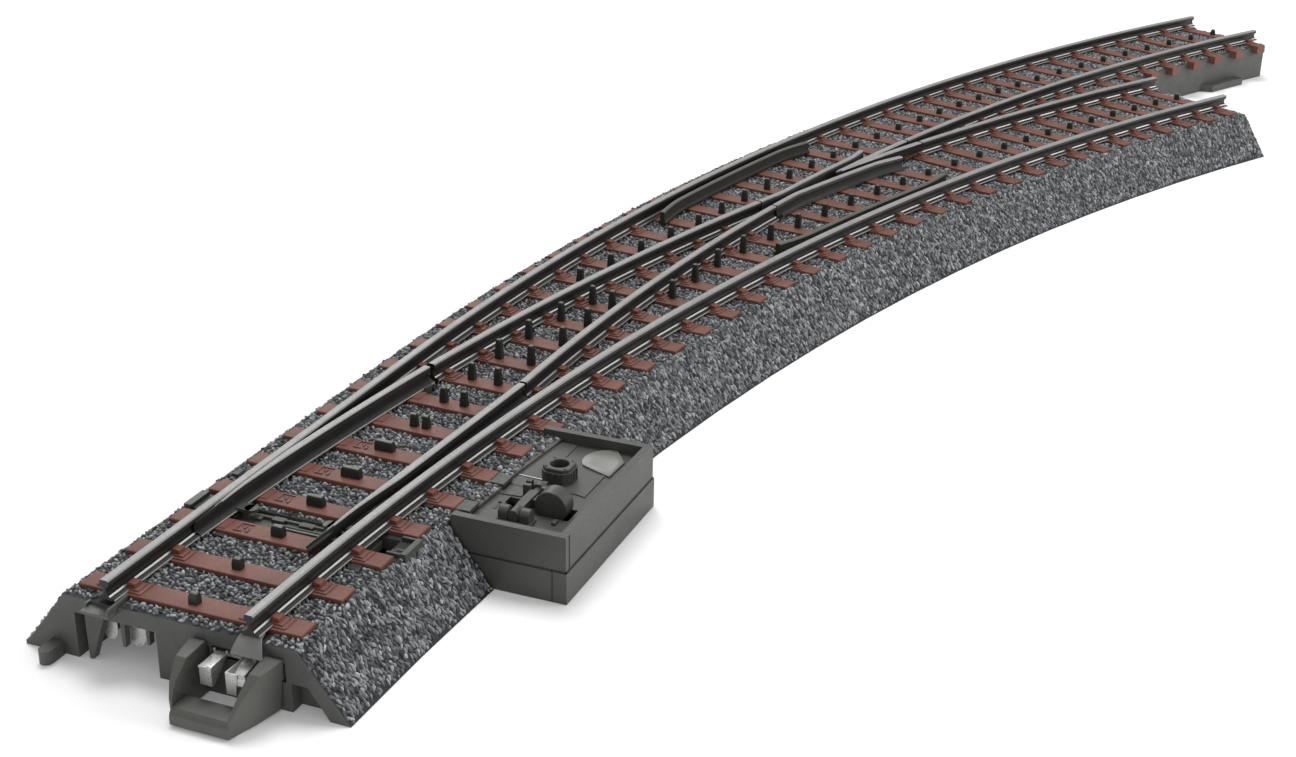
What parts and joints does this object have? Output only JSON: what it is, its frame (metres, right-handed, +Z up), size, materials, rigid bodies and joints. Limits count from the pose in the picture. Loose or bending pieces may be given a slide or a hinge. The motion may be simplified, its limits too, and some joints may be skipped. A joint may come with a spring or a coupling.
{
  "type": "model railway turnout switch",
  "caption": "Curved model railway turnout on a moulded ballast bed, with two pivoting blades worked by a weighted hand lever in a side box.",
  "frame": {"origin": "centre of the outline on the plane the bed stands on", "axes": "+X from the toe end along the track, +Y to the left of it, +Z up"},
  "size_m": [0.3399, 0.1063, 0.0108],
  "materials": {
    "ballast": "moulded grey gravel with brown ties",
    "rail": "rolled nickel-silver profile, satin head and dark web",
    "frog": "cast grey metal",
    "black_plastic": "fine matt",
    "grey_plastic": "fine matt dark grey",
    "spring_metal": "bright folded strip",
    "steel": "satin"
  },
  "bodies": {
    "base": {"cover_screw_1": "steel", "cover_screw_2": "steel", "cover_screw_3": "steel", "detent_spring": "spring_metal", "frog_casting": "frog", "frog_nose": "frog", "guard_rail_inner": "black_plastic", "guard_rail_outer": "black_plastic", "heel_pin_left": "steel", "heel_pin_right": "steel", "housing_lower": "grey_plastic", "housing_upper": "grey_plastic", "inner_centre_contact": "spring_metal", "inner_exit_rail": "rail", "inner_latch": "grey_plastic", "inner_left_joiner": "spring_metal", "inner_right_joiner": "spring_metal", "lantern_socket": "grey_plastic", "left_closure_rail": "rail", "left_stock_rail": "rail", "lever_bearing": "grey_plastic", "lever_far_bearing": "grey_plastic", "mechanism_cover": "grey_plastic", "outer_centre_contact": "spring_metal", "outer_exit_rail": "rail", "outer_latch": "grey_plastic", "outer_left_joiner": "spring_metal", "outer_right_joiner": "spring_metal", "rail_link_strip": "spring_metal", "right_closure_rail": "rail", "right_stock_rail": "rail", "roadbed": "ballast", "stud_strip": "black_plastic", "throw_bar_cap": "black_plastic", "toe_centre_contact": "spring_metal", "toe_latch": "grey_plastic", "toe_left_joiner": "spring_metal", "toe_right_joiner": "spring_metal", "tray_step": "grey_plastic"},
    "throw_bar": {"throw_bar": "black_plastic", "drive_link": "black_plastic"},
    "left_blade": {"left_switch_blade": "rail"},
    "right_blade": {"right_switch_blade": "rail"},
    "hand_lever": {"lever_shaft": "steel", "lever_weight": "black_plastic"},
    "lantern": {"lantern_spindle": "steel"}
  },
  "joints": [
    {"name": "lever_hinge", "type": "hinge", "parent": "base", "child": "hand_lever", "pos_m": [-0.1254, 0.0114, 0.0079], "axis": [-1, 0, 0], "range_deg": [0, 150.1]},
    {"name": "throw_slide", "type": "slide", "parent": "base", "child": "throw_bar", "axis": [0, -1, 0], "range_m": [0, 0.00187]},
    {"name": "left_blade_hinge", "type": "hinge", "parent": "base", "child": "left_blade", "pos_m": [-0.1019, 0.03833, 0.008], "axis": [0, 0, 1], "range_deg": [0, 2.78]},
    {"name": "right_blade_hinge", "type": "hinge", "parent": "base", "child": "right_blade", "pos_m": [-0.1019, 0.02445, 0.008], "axis": [0, 0, 1], "range_deg": [0, 2.78]},
    {"name": "lantern_hinge", "type": "hinge", "parent": "base", "child": "lantern", "pos_m": [-0.1172, 0.0113, 0.007], "axis": [0, 0, 1], "range_deg": [0, 90.1]}
  ],
  "couplings": [
    {"joint": "lever_hinge", "follows": "throw_slide", "rad_per_m": 1396.3},
    {"joint": "left_blade_hinge", "follows": "throw_slide", "rad_per_m": 25.784},
    {"joint": "right_blade_hinge", "follows": "throw_slide", "rad_per_m": 25.784},
    {"joint": "lantern_hinge", "follows": "throw_slide", "rad_per_m": 837.76}
  ]
}
